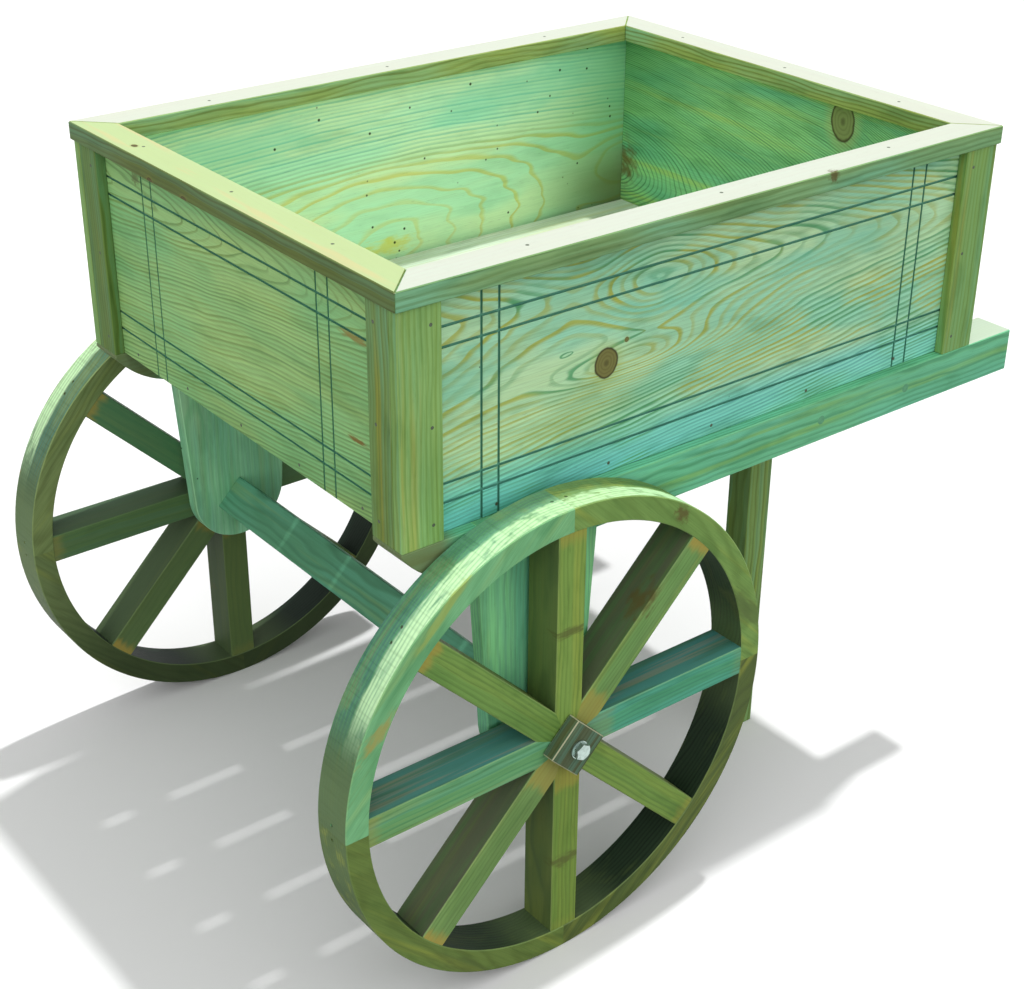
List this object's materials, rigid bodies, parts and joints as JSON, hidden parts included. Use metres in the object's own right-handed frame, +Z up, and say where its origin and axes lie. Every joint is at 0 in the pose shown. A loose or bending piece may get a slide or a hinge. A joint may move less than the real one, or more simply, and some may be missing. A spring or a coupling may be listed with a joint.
{
  "type": "garden cart",
  "caption": "Open wooden planter box on two rails, carried by spoked wooden wheels on a timber axle at the front and by legs at the rear.",
  "frame": {"origin": "on the ground, in the middle of the overall length and width", "axes": "+X to the rear, where the rails stand out behind the box, -Y the near side, +Z up; the wheel axle lies along Y"},
  "size_m": [0.9736, 0.7594, 0.7725],
  "materials": {
    "panel_wood": "rough planed, green treated",
    "post_wood": "sawn, olive green",
    "rim_wood": "planed, pale green",
    "floor_wood": "sawn, pale green",
    "rail_wood": "sawn, green with blue streaks",
    "bearer_wood": "sawn, green treated",
    "leg_wood": "sawn, dark olive",
    "bracket_wood": "planed, blue green",
    "axle_wood": "planed, dark blue green",
    "felloe_wood": "sawn, olive green",
    "spoke_wood": "planed, olive green",
    "hub_wood": "dark brown, worn edges",
    "zinc_steel": "bright zinc",
    "coated_steel": "green screw coating",
    "nail_steel": "dull, weathered"
  },
  "bodies": {
    "cart_frame": {"axle": "axle_wood", "axle_screws": "zinc_steel", "axle_spacers": "zinc_steel", "axle_washers": "zinc_steel", "bearer_front": "bearer_wood", "bearer_leg": "bearer_wood", "bearer_rear": "bearer_wood", "box_nails": "nail_steel", "bracket_far": "bracket_wood", "bracket_near": "bracket_wood", "floor_boards": "floor_wood", "frame_screws": "coated_steel", "leg_far": "leg_wood", "leg_near": "leg_wood", "panel_far": "panel_wood", "panel_front": "panel_wood", "panel_near": "panel_wood", "panel_rear": "panel_wood", "post_end_front_far": "post_wood", "post_end_front_near": "post_wood", "post_end_rear_far": "post_wood", "post_end_rear_near": "post_wood", "post_side_front_far": "post_wood", "post_side_front_near": "post_wood", "post_side_rear_far": "post_wood", "post_side_rear_near": "post_wood", "rail_far": "rail_wood", "rail_near": "rail_wood", "rim_far": "rim_wood", "rim_front": "rim_wood", "rim_near": "rim_wood", "rim_rear": "rim_wood"},
    "wheel_near": {"felloe_near_1": "felloe_wood", "felloe_near_2": "felloe_wood", "felloe_near_3": "felloe_wood", "felloe_near_4": "felloe_wood", "hub_plate_near": "hub_wood", "spoke_near_1": "spoke_wood", "spoke_near_2": "spoke_wood", "spoke_near_3": "spoke_wood", "spoke_near_4": "spoke_wood", "spoke_near_5": "spoke_wood", "spoke_near_6": "spoke_wood", "spoke_near_7": "spoke_wood", "spoke_near_8": "spoke_wood", "wheel_nails_near": "nail_steel"},
    "wheel_far": {"felloe_far_1": "felloe_wood", "felloe_far_2": "felloe_wood", "felloe_far_3": "felloe_wood", "felloe_far_4": "felloe_wood", "hub_plate_far": "hub_wood", "spoke_far_1": "spoke_wood", "spoke_far_2": "spoke_wood", "spoke_far_3": "spoke_wood", "spoke_far_4": "spoke_wood", "spoke_far_5": "spoke_wood", "spoke_far_6": "spoke_wood", "spoke_far_7": "spoke_wood", "spoke_far_8": "spoke_wood", "wheel_nails_far": "nail_steel"}
  },
  "joints": [
    {"name": "wheel_near_spin", "type": "hinge", "parent": "cart_frame", "child": "wheel_near", "pos_m": [-0.22025, -0.332, 0.2665], "axis": [0, 1, 0], "continuous": true},
    {"name": "wheel_far_spin", "type": "hinge", "parent": "cart_frame", "child": "wheel_far", "pos_m": [-0.22025, 0.332, 0.2665], "axis": [0, 1, 0], "continuous": true}
  ]
}
